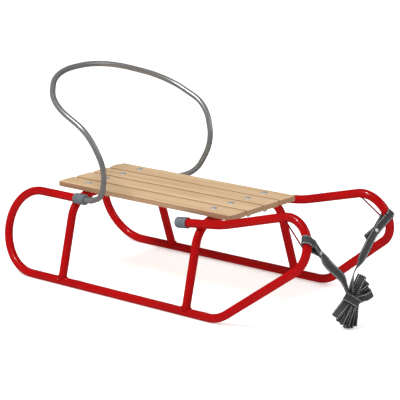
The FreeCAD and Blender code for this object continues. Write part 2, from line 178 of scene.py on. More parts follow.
class Shader:
    """One material's node tree round its principled surface."""

    def __init__(self, name: str) -> None:
        """Start a material.

        Args:
            name: the material's name.
        """
        self.material = bpy.data.materials.new(name)
        self.material.use_nodes = True
        self.tree = self.material.node_tree
        self.surface = self.tree.nodes["Principled BSDF"]

    def feed(self, socket: bpy.types.NodeSocket, value: object) -> None:
        """Link a socket to a value, or set it.

        Args:
            socket: an input socket.
            value: a Value, an output socket, or what the socket is set to.
        """
        if isinstance(value, Value):
            self.tree.links.new(value.socket, socket)
        elif isinstance(value, bpy.types.NodeSocket):
            self.tree.links.new(value, socket)
        else:
            socket.default_value = value

    def node(self, kind: str, settings: dict, inputs: dict) -> bpy.types.Node:
        """Add a node.

        Args:
            kind: the node's type.
            settings: its properties by name.
            inputs: values or links by socket name or number.

        Returns:
            The new node.
        """
        node = self.tree.nodes.new(kind)
        for name, value in settings.items():
            setattr(node, name, value)
        for key, value in inputs.items():
            self.feed(node.inputs[key], value)
        return node

    def place(self) -> bpy.types.NodeSocket:
        """Object coordinates."""
        return self.node("ShaderNodeTexCoord", {}, {}).outputs["Object"]

    def parts(self, vector: bpy.types.NodeSocket) -> list[Value]:
        """A vector's three numbers."""
        node = self.node("ShaderNodeSeparateXYZ", {}, {0: vector})
        return [Value(self, output) for output in node.outputs]

    def vector(self, x: Value | float, y: Value | float,
               z: Value | float) -> bpy.types.NodeSocket:
        """A vector of three numbers."""
        return self.node("ShaderNodeCombineXYZ", {}, {0: x, 1: y, 2: z}).outputs[0]

    def noise(self, vector: bpy.types.NodeSocket, scale: float, detail: float = 3.0) -> Value:
        """Cloudy noise.

        Args:
            vector: where it is read.
            scale: how many clouds to a metre of the vector.
            detail: how many finer layers lie on it.

        Returns:
            The noise, from 0 to 1.
        """
        node = self.node("ShaderNodeTexNoise", {},
                         {"Vector": vector, "Scale": scale, "Detail": detail})
        return Value(self, node.outputs[0])

    def mix(self, factor: Value, first: object, second: object) -> bpy.types.NodeSocket:
        """Mix two colours.

        Args:
            factor: 0 for the first, 1 for the second.
            first: a colour or its socket.
            second: a colour or its socket.

        Returns:
            The mixed colour.
        """
        colours = [c if isinstance(c, bpy.types.NodeSocket) else (*c, 1.0) for c in (first, second)]
        node = self.node("ShaderNodeMix", {"data_type": "RGBA"},
                         {MIX_FACTOR: factor, MIX_FIRST: colours[0], MIX_SECOND: colours[1]})
        return node.outputs[MIX_COLOUR]

    def bump(self, height: Value, depth: float, strength: float = 1.0) -> bpy.types.NodeSocket:
        """A surface normal from a height.

        Args:
            height: the height, from 0 to 1.
            depth: how many metres 1 stands for.
            strength: share of the effect.

        Returns:
            The bent normal.
        """
        node = self.node("ShaderNodeBump", {},
                         {"Strength": strength, "Distance": depth, "Height": height})
        return node.outputs[0]

    def finish(self, **sockets: object) -> bpy.types.Material:
        """Set the surface's sockets.

        Args:
            sockets: values or links, named as the sockets are with _ for a space.

        Returns:
            The finished material.
        """
        for name, value in sockets.items():
            self.feed(self.surface.inputs[name.replace("_", " ")], value)
        return self.material


# ---- finishes ----------------------------------------------------------------------------
@dataclass(frozen=True)
class GlossPaint:
    """Powder coat on steel: even colour, faint orange peel, scuffed where it slides."""

    name: str
    colour: tuple[float, float, float]
    deep: tuple[float, float, float]
    roughness: float = 0.4
    coat: float = 0.26
    scuffed: bool = False
    cloud_scale: float = 14.0
    speck_scale: float = 1400.0
    peel_scale: float = 420.0
    peel_depth: float = 0.00004
    scuff_low: float = 0.0004
    scuff_high: float = 0.0032
    scuff_stretch: tuple[float, float, float] = (40.0, 900.0, 900.0)
    scuff_colour: tuple[float, float, float] = (0.3, 0.16, 0.15)

    def make(self) -> bpy.types.Material:
        """Build the material.

        Returns:
            The material.
        """
        shader = Shader(self.name)
        place = shader.place()
        cloud = shader.noise(place, self.cloud_scale)
        speck = shader.noise(place, self.speck_scale, 1.0)
        peel = shader.noise(place, self.peel_scale, 2.0)
        colour = shader.mix(cloud.between(0.3, 0.75), self.colour, self.deep)
        roughness = cloud * 0.08 + speck * 0.05 + (self.roughness - 0.06)
        if self.scuffed:
            height = shader.parts(place)[2]
            streak = shader.noise(shader.vector(*[
                part * scale for part, scale in zip(shader.parts(place), self.scuff_stretch)
            ]), 1.0, 4.0)
            low = 1.0 - height.between(self.scuff_low, self.scuff_high)
            scuff = low * streak.between(0.42, 0.6)
            colour = shader.mix(scuff * 0.7, colour, self.scuff_colour)
            roughness = roughness + scuff * 0.35
        return shader.finish(
            Base_Color=colour, Roughness=roughness, Specular_IOR_Level=0.08, Coat_Weight=self.coat,
            Coat_Roughness=0.06, Normal=shader.bump(peel, self.peel_depth, 0.4),
        )


@dataclass(frozen=True)
class VarnishedWood:
    """Pale boards with grain along X, each board cut from different timber, with painted shade on
    their sides and in the gaps between them.
    """

    pitch: float = 51.5 * MM
    pale: tuple[float, float, float] = (0.7, 0.505, 0.31)
    warm: tuple[float, float, float] = (0.56, 0.375, 0.205)
    line: tuple[float, float, float] = (0.34, 0.2, 0.1)
    # painted shade: the colour that the boards' sides and the gaps between boards are darkened
    # towards
    painted_gap_shade: tuple[float, float, float] = (0.25, 0.125, 0.07)
    board_step: float = 3.71
    sway_reach: float = 0.012
    grain_depth: float = 0.00012

    def make(self) -> bpy.types.Material:
        """Build the material.

        Returns:
            The material.
        """
        shader = Shader("varnished_boards")
        x, y, z = shader.parts(shader.place())
        board = (y / self.pitch).floor()
        shift = board * self.board_step
        sway = shader.noise(shader.vector(x * 2.2 + shift, y * 7.0, z * 7.0), 1.0, 2.0)
        across = y + sway * self.sway_reach
        fibres = shader.vector(x * 3.0 + shift, across * 85.0, z * 60.0 + shift)
        grain = shader.noise(fibres, 1.0, 5.0)
        rings = ((across * 520.0 + z * 300.0 + sway * 16.0 + shift).sine() * 0.5 + 0.5).power(3.0)
        pores = shader.noise(shader.vector(x * 26.0 + shift, y * 1500.0, z * 1500.0), 1.0, 2.0)
        tone = shader.noise(shader.vector(board * 5.3, 0.5, 0.5), 1.0, 0.0)
        colour = shader.mix(grain.between(0.35, 0.72), self.pale, self.warm)
        colour = shader.mix(rings * 0.2, colour, self.line)
        colour = shader.mix(pores.between(0.6, 0.78) * 0.3, colour, self.line)
        colour = shader.mix(tone.between(0.3, 0.7) * 0.22, colour, self.warm)
        normal = shader.parts(shader.node("ShaderNodeNewGeometry", {}, {}).outputs["Normal"])
        end_grain = normal[0].absolute().between(0.7, 0.95)
        # painted shade: faces that look neither up nor down, the boards' sides seen in the gaps,
        # are darkened towards a deep brown
        edge = 1.0 - normal[2].absolute().between(0.35, 0.97)
        colour = shader.mix(edge * 0.74, colour, self.painted_gap_shade)
        colour = shader.mix(end_grain * 0.5, colour, self.line)
        roughness = grain * 0.12 + pores * 0.08 + end_grain * 0.15 + 0.26
        relief = grain * 0.5 + pores * 0.5
        return shader.finish(
            Base_Color=colour, Roughness=roughness, Coat_Weight=0.18, Coat_Roughness=0.2,
            Normal=shader.bump(relief, self.grain_depth, 0.6),
        )


@dataclass(frozen=True)
class Metal:
    """Bare or plated metal with a cloudy bloom."""

    name: str
    colour: tuple[float, float, float] = (0.66, 0.66, 0.64)
    dull: tuple[float, float, float] = (0.46, 0.46, 0.45)
    metallic: float = 0.9
    roughness: float = 0.3
    bloom_scale: float = 160.0
    grit_scale: float = 2600.0
    grit_depth: float = 0.00004

    def make(self) -> bpy.types.Material:
        """Build the material.

        Returns:
            The material.
        """
        shader = Shader(self.name)
        place = shader.place()
        bloom = shader.noise(place, self.bloom_scale)
        grit = shader.noise(place, self.grit_scale, 2.0)
        colour = shader.mix(bloom.between(0.35, 0.7), self.colour, self.dull)
        return shader.finish(
            Base_Color=colour, Metallic=self.metallic,
            Roughness=bloom * 0.14 + grit * 0.08 + (self.roughness - 0.1),
            Normal=shader.bump(grit, self.grit_depth, 0.5),
        )


@dataclass(frozen=True)
class MouldedPlastic:
    """Blue-grey moulded plastic with a fine spark texture."""

    colour: tuple[float, float, float] = (0.1, 0.122, 0.133)
    worn: tuple[float, float, float] = (0.135, 0.157, 0.168)
    cloud_scale: float = 60.0
    spark_scale: float = 3200.0
    spark_depth: float = 0.00008

    def make(self) -> bpy.types.Material:
        """Build the material.

        Returns:
            The material.
        """
        shader = Shader("moulded_plastic")
        place = shader.place()
        cloud = shader.noise(place, self.cloud_scale)
        spark = shader.noise(place, self.spark_scale, 2.0)
        colour = shader.mix(cloud.between(0.4, 0.75), self.colour, self.worn)
        return shader.finish(
            Base_Color=colour, Roughness=cloud * 0.1 + spark * 0.12 + 0.34,
            Normal=shader.bump(spark, self.spark_depth, 0.7),
        )


@dataclass(frozen=True)
class Webbing:
    """Woven polyester strap: ribs along it, picks across it and a tighter selvedge."""

    width: float = 18.0 * MM
    colour: tuple[float, float, float] = (0.056, 0.057, 0.062)
    shade: tuple[float, float, float] = (0.009, 0.0095, 0.012)
    faded: tuple[float, float, float] = (0.07, 0.072, 0.08)
    selvedge_colour: tuple[float, float, float] = (0.03, 0.032, 0.037)
    rib_pitch: float = 0.0016
    pick_pitch: float = 0.0011
    selvedge_width: float = 0.0012
    weave_depth: float = 0.0003

    def make(self) -> bpy.types.Material:
        """Build the material.

        Returns:
            The material.
        """
        shader = Shader("woven_webbing")
        flat = shader.node("ShaderNodeUVMap", {"uv_map": "UVMap"}, {}).outputs[0]
        along, across, _ = shader.parts(flat)
        turn = 2 * math.pi
        rib = (across * (turn / self.rib_pitch)).sine() * 0.5 + 0.5
        lean = (across * (turn / (2 * self.rib_pitch))).sine() * 1.6
        pick = (along * (turn / self.pick_pitch) + lean).sine() * 0.5 + 0.5
        weave = rib * 0.6 + pick * 0.4
        fuzz = shader.noise(shader.vector(along * 900.0, across * 900.0, 0.0), 1.0, 3.0)
        patch = shader.noise(shader.vector(along * 30.0, across * 60.0, 0.0), 1.0, 2.0)
        colour = shader.mix(weave * 0.75 + fuzz * 0.25, self.shade, self.colour)
        colour = shader.mix(patch.between(0.45, 0.75) * 0.3, colour, self.faded)
        past_face = across.absolute() - (self.width / 2 - self.selvedge_width)
        selvedge = past_face.between(0.0, 0.0008)
        colour = shader.mix(selvedge * 0.6, colour, self.selvedge_colour)
        return shader.finish(
            Base_Color=colour, Roughness=fuzz * 0.15 + 0.68, Sheen_Weight=0.1, Sheen_Roughness=0.5,
            Normal=shader.bump(weave * 0.8 + fuzz * 0.2, self.weave_depth, 0.8),
        )


@dataclass(frozen=True)
class Thread:
    """Pale sewing thread."""

    colour: tuple[float, float, float] = (0.68, 0.68, 0.66)
    shade: tuple[float, float, float] = (0.5, 0.5, 0.49)
    lay_scale: float = 2500.0
    lay_depth: float = 0.0001

    def make(self) -> bpy.types.Material:
        """Build the material.

        Returns:
            The material.
        """
        shader = Shader("sewing_thread")
        lay = shader.noise(shader.place(), self.lay_scale, 1.0)
        colour = shader.mix(lay, self.shade, self.colour)
        return shader.finish(Base_Color=colour, Roughness=lay * 0.1 + 0.65,
                             Normal=shader.bump(lay, self.lay_depth, 0.6))


class Finishes:
    """Every material of the sled, made once."""

    def __init__(self) -> None:
        """Build the materials."""
        self.runner = GlossPaint("red_powder_coat", (0.35, 0.0003, 0.0009),
                                 (0.295, 0.0002, 0.0006), scuffed=True).make()
        self.rod = GlossPaint("red_rod_coat", (0.2, 0.0014, 0.003), (0.15, 0.001, 0.002)).make()
        self.wood = VarnishedWood().make()
        self.zinc = Metal("zinc_plate", (0.5, 0.5, 0.48), (0.42, 0.42, 0.41), 0.45, 0.36).make()
        self.hoop = Metal("silver_powder_coat", (0.33, 0.33, 0.325), (0.27, 0.27, 0.265),
                          0.6, 0.3).make()
        self.rivet = Metal("rivet_metal", (0.72, 0.7, 0.64), (0.6, 0.58, 0.52), 0.3, 0.34).make()
        self.plastic = MouldedPlastic().make()
        self.webbing = Webbing().make()
        self.thread = Thread().make()


# ---- mesh helpers ------------------------------------------------------------------------
def deselect_all() -> None:
    """Leave nothing selected."""
    bpy.ops.object.select_all(action="DESELECT")


def pick(*pieces: bpy.types.Object) -> None:
    """Select these pieces only, with the first one active."""
    deselect_all()
    for piece in pieces:
        piece.select_set(True)
    bpy.context.view_layer.objects.active = pieces[0]


def put_in_scene(name: str, data: bpy.types.ID) -> bpy.types.Object:
    """Make an object of a mesh, curve, light or camera.

    Args:
        name: the object's name.
        data: what it holds.

    Returns:
        The object, linked to the scene at the origin.
    """
    thing = bpy.data.objects.new(name, data)
    bpy.context.scene.collection.objects.link(thing)
    return thing


def dress(piece: bpy.types.Object, material: bpy.types.Material) -> None:
    """Give a piece one material."""
    piece.data.materials.clear()
    piece.data.materials.append(material)


def settle(piece: bpy.types.Object) -> bpy.types.Object:
    """Ride a new piece on the sled.

    Args:
        piece: the finished piece, at the origin.

    Returns:
        The same piece.
    """
    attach(piece, "sled")
    LOG.info("%s: %d faces", piece.name, len(piece.data.polygons))
    return piece


def new_mesh(name: str, points: list[Vector], faces: list[tuple[int, ...]]) -> bpy.types.Object:
    """Make a smooth-shaded mesh object.

    Args:
        name: the piece's name.
        points: its vertices.
        faces: its faces, by vertex number.

    Returns:
        The new object.
    """
    mesh = bpy.data.meshes.new(name)
    mesh.from_pydata([tuple(p) for p in points], [], faces)
    mesh.validate()
    mesh.update()
    for polygon in mesh.polygons:
        polygon.use_smooth = True
    return put_in_scene(name, mesh)


def spline_object(name: str, points: list[Vector], radii: list[float], bevel: float, closed: bool,
                  steps: int) -> bpy.types.Object:
    """Make a smooth curve through control points.

    Args:
        name: the curve's name.
        points: its control points.
        radii: one factor of the bevel for each point.
        bevel: radius of its round section, or 0 for a bare line.
        closed: whether it runs back to its start.
        steps: points along each of its segments.

    Returns:
        The curve's object.
    """
    curve = bpy.data.curves.new(name, "CURVE")
    curve.dimensions = "3D"
    curve.resolution_u = steps
    curve.bevel_depth = bevel
    curve.bevel_resolution = 3
    spline = curve.splines.new("NURBS")
    spline.points.add(len(points) - 1)
    for target, point, radius in zip(spline.points, points, radii):
        target.co = (*point, 1.0)
        target.radius = radius
    spline.order_u = 3
    spline.use_endpoint_u = not closed
    spline.use_cyclic_u = closed
    return put_in_scene(name, curve)


def smooth_line(points: list[Vector], steps: int = 14) -> list[Vector]:
    """Read a smooth line from its control points.

    Args:
        points: the control points.
        steps: points along each segment.

    Returns:
        The line's points, in order.
    """
    piece = spline_object("line", points, [1.0] * len(points), 0.0, False, steps)
    bpy.context.view_layer.update()
    graph = bpy.context.evaluated_depsgraph_get()
    mesh = bpy.data.meshes.new_from_object(piece.evaluated_get(graph))
    line = [vertex.co.copy() for vertex in mesh.vertices]
    bpy.data.meshes.remove(mesh)
    curve = piece.data
    bpy.data.objects.remove(piece)
    bpy.data.curves.remove(curve)
    return line


def bead(name: str, points: list[Vector], radii: list[float]) -> bpy.types.Object:
    """Make a closed weld bead along a loop of points.

    Args:
        name: the piece's name.
        points: the loop's points.
        radii: the bead's radius at each point.

    Returns:
        The bead as a mesh.
    """
    pick(spline_object(name, points, radii, 1.0, True, 3))
    bpy.ops.object.convert(target="MESH")
    piece = bpy.context.view_layer.objects.active
    bpy.ops.object.shade_smooth()
    return piece


def joined(name: str, pieces: list[bpy.types.Object]) -> bpy.types.Object:
    """Join pieces into one.

    Args:
        name: the new piece's name.
        pieces: at least one mesh piece.

    Returns:
        The joined piece.
    """
    pick(*pieces)
    if len(pieces) > 1:
        bpy.ops.object.join()
    whole = bpy.context.view_layer.objects.active
    whole.name = name
    whole.data.name = name
    return whole


# ---- stage -------------------------------------------------------------------------------
@dataclass
class Studio:
    """Camera, pale floor and soft lights."""

    eye: tuple[float, float, float] = (2.765971, -2.888436, 1.212881)
    lens: float = 177.195
    sensor: float = 36.0
    floor: float = 60.0
    key_power: float = 85.0
    fill_power: float = 18.0
    sky: float = 0.66
    mirrored_sky: float = 0.02
    floor_glow: float = 0.4
    key_place: tuple[float, float, float] = (-0.5, -1.6, 2.9)
    key_size: float = 0.7
    fill_place: tuple[float, float, float] = (2.6, 0.9, 1.9)
    fill_size: float = 1.6
    aim: tuple[float, float, float] = (0.0, 0.0, 0.15)
    floor_colour: tuple[float, float, float] = (0.92, 0.92, 0.92)
    mirrored_floor: tuple[float, float, float] = (0.015, 0.015, 0.015)
    farthest: float = 100.0

    def camera(self) -> None:
        """Set the camera in its place."""
        data = bpy.data.cameras.new("camera")
        data.lens = self.lens
        data.sensor_width = self.sensor
        data.clip_end = self.farthest
        camera = put_in_scene("camera", data)
        turn = Matrix((VIEW_RIGHT, VIEW_UP, TOWARDS_VIEW)).transposed().to_4x4()
        camera.matrix_world = Matrix.Translation(self.eye) @ turn
        bpy.context.scene.camera = camera

    def dimmed(self, shader: Shader, open_colour: tuple, mirrored: tuple) -> bpy.types.NodeSocket:
        """A stage colour that is darker where gloss mirrors it."""
        gloss = Value(shader, shader.node("ShaderNodeLightPath", {}, {}).outputs["Is Glossy Ray"])
        return shader.mix(gloss, open_colour, mirrored)

    def ground(self) -> None:
        """Lay the floor."""
        deselect_all()
        bpy.ops.mesh.primitive_plane_add(size=self.floor, location=(0, 0, 0))
        floor = bpy.context.view_layer.objects.active
        floor.name = "floor"
        shader = Shader("pale_floor")
        dress(floor, shader.finish(
            Base_Color=self.dimmed(shader, self.floor_colour, self.mirrored_floor),
            Roughness=0.9, Specular_IOR_Level=0.1,
            Emission_Color=self.dimmed(shader, (1.0, 1.0, 1.0), (0.0, 0.0, 0.0)),
            Emission_Strength=self.floor_glow,
        ))

    def lamp(self, name: str, place: tuple[float, float, float], size: float, power: float) -> None:
        """Hang one soft square light that faces the sled.

        Args:
            name: the light's name.
            place: where it hangs.
            size: its side.
            power: its power in watts.
        """
        data = bpy.data.lights.new(name, "AREA")
        data.size = size
        data.energy = power
        way = Vector(self.aim) - Vector(place)
        turn = way.to_track_quat("-Z", "Y").to_matrix().to_4x4()
        put_in_scene(name, data).matrix_world = Matrix.Translation(place) @ turn

    def lights(self) -> None:
        """Light the sled from above, with a soft sky all round."""
        self.lamp("key_light", self.key_place, self.key_size, self.key_power)
        self.lamp("fill_light", self.fill_place, self.fill_size, self.fill_power)
        world = bpy.data.worlds.new("soft_sky")
        world.use_nodes = True
        tree = world.node_tree
        background = tree.nodes["Background"]
        background.inputs["Color"].default_value = (1.0, 1.0, 1.0, 1.0)
        path = tree.nodes.new("ShaderNodeLightPath")
        strength = tree.nodes.new("ShaderNodeMapRange")
        strength.inputs["To Min"].default_value = self.sky
        strength.inputs["To Max"].default_value = self.mirrored_sky
        tree.links.new(path.outputs["Is Glossy Ray"], strength.inputs["Value"])
        tree.links.new(strength.outputs["Result"], background.inputs["Strength"])
        bpy.context.scene.world = world
        bpy.context.scene.view_settings.view_transform = "Standard"

    def build(self) -> None:
        """Set the whole stage."""
        self.camera()
        self.ground()
        self.lights()


# ---- pull strap --------------------------------------------------------------------------
@dataclass
class Ribbon:
    """A flat strap along a line, with two rows of stitches on each face."""

    line: list[Vector]
    across: list[Vector]
    widths: tuple[tuple[float, float], ...] = ((0.0, 1.0), (1.0, 1.0))
    width: float = 18.0 * MM
    thickness: float = 1.7 * MM
    row_inset: float = 2.2 * MM
    stitch: float = 2.7 * MM
    stitch_pitch: float = 4.4 * MM
    stitch_width: float = 1.3 * MM
    stitch_height: float = 0.45 * MM
    stitch_sink: float = 0.1 * MM
    curl_share: float = 0.35
    edge_power: int = 14

    def __post_init__(self) -> None:
        """Work out the line's lengths and frames."""
        self.at = [0.0]
        for before, after in zip(self.line, self.line[1:]):
            self.at.append(self.at[-1] + (after - before).length)
        self.frames = []
        last = len(self.line) - 1
        for number, point in enumerate(self.line):
            ahead = (self.line[min(last, number + 1)] - self.line[max(0, number - 1)]).normalized()
            side = self.across[number] - ahead * self.across[number].dot(ahead)
            side.normalize()
            self.frames.append((point, side, side.cross(ahead)))

    def pinch(self, length: float) -> float:
        """Find how far the strap is drawn together.

        Args:
            length: the length along the strap.

        Returns:
            The share of its width that the strap keeps there.
        """
        share = length / self.at[-1]
        for (low, first), (high, second) in zip(self.widths, self.widths[1:]):
            if share <= high:
                ease = (share - low) / (high - low)
                return first + (second - first) * ease * ease * (3 - 2 * ease)
        return self.widths[-1][1]

    def curl(self, keep: float) -> float:
        """How far the edges of a drawn-together strap curl up."""
        return (1 - keep) * self.width * self.curl_share

    def section(self) -> list[tuple[float, float]]:
        """Outline of the strap's section, with rounded selvedges and slightly crowned faces.

        Returns:
            (across, out) pairs, once round.
        """
        half, deep = self.width / 2, self.thickness / 2
        upper = []
        for share in (-1.0, -0.97, -0.9, -0.6, -0.2, 0.2, 0.6, 0.9, 0.97, 1.0):
            height = deep * (1 - abs(share) ** self.edge_power) ** 0.5 if abs(share) < 1 else 0.0
            upper.append((share * half, height))
        return upper + [(out, -height) for out, height in reversed(upper[1:-1])]

    def mesh(self, name: str) -> bpy.types.Object:
        """Make the strap's own mesh.

        Args:
            name: the piece's name.

        Returns:
            The strap, with lengths in metres in its UV map.
        """
        outline = self.section()
        count = len(outline)
        points = []
        for (point, side, out), length in zip(self.frames, self.at):
            keep = self.pinch(length)
            curl = self.curl(keep)
            for u, v in outline:
                rise = v + curl * (2 * u / self.width) ** 2 - curl / 3
                points.append(point + side * (u * keep) + out * rise)
        faces = []
        for ring in range(len(self.frames) - 1):
            for k in range(count):
                n = (k + 1) % count
                base = ring * count
                faces.append((base + k, base + k + count, base + n + count, base + n))
        faces.append(tuple(range(count)))
        top = (len(self.frames) - 1) * count
        faces.append(tuple(top + k for k in reversed(range(count))))
        piece = new_mesh(name, points, faces)
        layer = piece.data.uv_layers.new(name="UVMap")
        for loop in piece.data.loops:
            ring, k = divmod(loop.vertex_index, count)
            layer.data[loop.index].uv = (self.at[ring], outline[k][0])
        return piece

    def frame_at(self, length: float) -> tuple[Vector, Vector, Vector]:
        """Find the strap's place and directions.

        Args:
            length: the length along the strap.

        Returns:
            The middle of the strap, its width direction and the way its front face looks.
        """
        number = 0
        while number < len(self.at) - 2 and self.at[number + 1] < length:
            number += 1
        step = max(SMALLEST, self.at[number + 1] - self.at[number])
        share = (length - self.at[number]) / step
        first, second = self.frames[number], self.frames[number + 1]
        return tuple(a.lerp(b, share) for a, b in zip(first, second))

    def stitches(self, name: str) -> bpy.types.Object:
        """Make the strap's stitches.

        Args:
            name: the piece's name.

        Returns:
            All the stitches as one piece.
        """
        points, faces = [], []
        reach = self.width / 2 - self.row_inset
        seat = self.thickness / 2 - self.stitch_sink
        shape = ((0.0, 0.35, 0.0), (0.2, 1.0, 1.0), (0.8, 1.0, 1.0), (1.0, 0.35, 0.0))
        start = self.stitch_pitch / 2
        while start + self.stitch < self.at[-1]:
            for face in Face:
                for row in (-1, 1):
                    base = len(points)
                    for share, wide, high in shape:
                        length = start + share * self.stitch
                        place, side, out = self.frame_at(length)
                        keep = self.pinch(length)
                        curl = self.curl(keep)
                        rise = curl * (2 * reach / self.width) ** 2 - curl / 3
                        middle = place + side * (row * reach * keep)
                        middle += out * (rise + face.value * seat)
                        half = side * (wide * self.stitch_width / 2)
                        lift = out * (face.value * (high * self.stitch_height + self.stitch_sink))
                        points += [middle - half, middle + lift, middle + half]
                    for k in range(3):
                        a = base + 3 * k
                        faces += [(a, a + 3, a + 4, a + 1), (a + 1, a + 4, a + 5, a + 2),
                                  (a + 2, a + 5, a + 3, a)]
                    faces += [(base, base + 1, base + 2), (base + 11, base + 10, base + 9)]
            start += self.stitch_pitch
        piece = new_mesh(name, points, faces)
        pick(piece)
        bpy.ops.object.mode_set(mode="EDIT")
        bpy.ops.mesh.select_all(action="SELECT")
        bpy.ops.mesh.normals_make_consistent(inside=False)
        bpy.ops.object.mode_set(mode="OBJECT")
        return piece


def turned_along(line: list[Vector], keys: list[tuple[float, Vector]]) -> list[Vector]:
    """Turn a strap's width direction smoothly along its line.

    Args:
        line: the strap's line.
        keys: (share of the length, width direction) pairs in order, from 0 to 1.

    Returns:
        One direction for each point of the line.
    """
    at = [0.0]
    for before, after in zip(line, line[1:]):
        at.append(at[-1] + (after - before).length)
    directions = []
    for length in at:
        share = length / at[-1]
        number = 0
        while number < len(keys) - 2 and keys[number + 1][0] < share:
            number += 1
        (low, first), (high, second) = keys[number], keys[number + 1]
        ease = min(1.0, max(0.0, (share - low) / (high - low)))
        ease = ease * ease * (3 - 2 * ease)
        directions.append(first.normalized().lerp(second.normalized(), ease))
    return directions


def seen(right: float, up: float, near: float) -> Vector:
    """A direction given to the right, up and towards the front of the sled's display side."""
    return VIEW_RIGHT * right + VIEW_UP * up + TOWARDS_VIEW * near


def from_nose(x: float, y: float, z: float) -> Vector:
    """A point given in millimetres ahead of the noses."""
    return Vector((X_NOSE + x * MM, y * MM, z * MM))


@dataclass
class StrapEnd:
    """One half of the strap: its lead, the band round a nose, and the rivet that joins them."""

    side: Side
    route: tuple[tuple[float, float, float], ...]
    turns: tuple[tuple[float, tuple[float, float, float]], ...]
    widths: tuple[tuple[float, float], ...]
    join_share: float
    tab: float
    tab_turn: float
    flare: float
    length: float
    band_lean: tuple[float, float, float] = (-0.3622, 0.2287, 0.9036)
    band_centre: tuple[float, float, float] = (-3.7, 122.95, 196.9)
    band_r: float = 10.4 * MM
    band_steps: int = 26
    band_drop: float = 0.35
    tab_lift: float = 0.6 * MM
    layer: float = 2.1 * MM
    rivet_r: float = 4 * MM
    rivet_length: float = 6.4 * MM
    rivet_rim: float = 2.1 * MM
    rivet_dome: float = 0.62
    rivet_round: float = 0.7 * MM

    def axis(self) -> Vector:
        """Direction of the nose tube at the band."""
        x, y, z = self.band_lean
        return Vector((x, -y * self.side.value, z)).normalized()

    def centre(self) -> Vector:
        """Centre of the band."""
        x, y, z = self.band_centre
        return from_nose(x, y * self.side.value, z)

    def lead_line(self) -> list[Vector]:
        """The lead's smooth line."""
        return smooth_line([from_nose(*point) for point in self.route])

    def lead_ribbon(self) -> Ribbon:
        """The lead, flat where it shows its face and edge-on where it twists.

        Returns:
            The lead's ribbon.
        """
        line = self.lead_line()
        keys = [(0.0, self.axis()), (self.join_share, self.axis())]
        keys += [(share, seen(*turn)) for share, turn in self.turns]
        return Ribbon(line, turned_along(line, keys), self.widths)

    def band_ribbon(self, lead: Ribbon) -> Ribbon:
        """The band: from the lead's start round the tube and back to the rivet.

        Args:
            lead: the lead that the band runs on from.

        Returns:
            The band's ribbon, with its free tab.
        """
        axis, centre = self.axis(), self.centre()
        join, side, out = lead.frame_at(self.join_share * lead.at[-1])
        ahead = (lead.frame_at(self.join_share * lead.at[-1] + 2 * MM)[0] - join).normalized()
        reach = join - centre
        drop = reach.dot(axis)
        toward = reach - axis * drop
        leaving = math.acos(self.band_r / toward.length)
        toward.normalize()
        round_way = axis.cross(toward)
        if (lead.line[0] - centre).dot(round_way) < 0:
            round_way.negate()
        inner = out if out.dot(centre + toward * self.band_r - lead.line[0]) > 0 else -out
        points, widths = [lead.line[0].copy()], [axis]
        for k in range(self.band_steps + 1):
            turn = leaving + (2 * math.pi - 2 * leaving) * k / self.band_steps
            share = 2 * k / self.band_steps - 1
            radial = toward * math.cos(turn) + round_way * math.sin(turn)
            sag = axis * (drop * self.band_drop * share * share)
            points.append(centre + radial * self.band_r + sag)
            widths.append(axis - radial * (self.flare * (1 - share * share)))
        rear = points[-1]
        meet = join + inner * self.layer
        for share in (0.33, 0.66):
            points.append(rear.lerp(meet, share))
            widths.append(axis.lerp(side, share))
        swing = Matrix.Rotation(math.radians(self.tab_turn), 3, out)
        tail = swing @ ahead
        for step in (0.0, 0.5, 1.0):
            points.append(meet + tail * (self.tab * step) + inner * (self.tab_lift * step))
            widths.append(swing @ side)
        return Ribbon(points, widths)

    def rivet(self, lead: Ribbon) -> bpy.types.Object:
        """Make the domed rivet through both layers.

        Args:
            lead: the lead that it goes through.

        Returns:
            The rivet, standing through the strap.
        """
        place, _, out = lead.frame_at(self.join_share * lead.at[-1])
        if out.dot(TOWARDS_VIEW) < 0:
            out = -out
        deselect_all()
        bpy.ops.mesh.primitive_cylinder_add(vertices=32, radius=self.rivet_r,
                                            depth=self.rivet_length, location=(0, 0, 0))
        piece = bpy.context.view_layer.objects.active
        piece.name = f"strap_rivet_head_{self.side.label}"
        bpy.ops.object.mode_set(mode="EDIT")
        for rim in (self.rivet_rim, -self.rivet_rim):
            bpy.ops.mesh.select_all(action="SELECT")
            bpy.ops.mesh.bisect(plane_co=(0, 0, rim), plane_no=(0, 0, 1))
        bpy.ops.object.mode_set(mode="OBJECT")
        for vertex in piece.data.vertices:
            if abs(vertex.co.z) > (self.rivet_rim + self.rivet_length / 2) / 2:
                vertex.co.x *= self.rivet_dome
                vertex.co.y *= self.rivet_dome
        bevel = piece.modifiers.new("round", "BEVEL")
        bevel.width = self.rivet_round
        bevel.segments = 4
        bpy.ops.object.modifier_apply(modifier=bevel.name)
        bpy.ops.object.shade_smooth_by_angle(angle=math.radians(40))
        turn = out.to_track_quat("Z", "Y").to_matrix().to_4x4()
        offset = -out * (self.layer / 2)
        piece.data.transform(Matrix.Translation(place + offset) @ turn)
        return piece


@dataclass
class Fold:
    """One doubled fold of the hank, given up along the hank and out along its fan."""

    tip: tuple[float, float]
    root: tuple[float, float]
    depth: float
    edge_on: float
    bend: float
    puff: float = 0.0


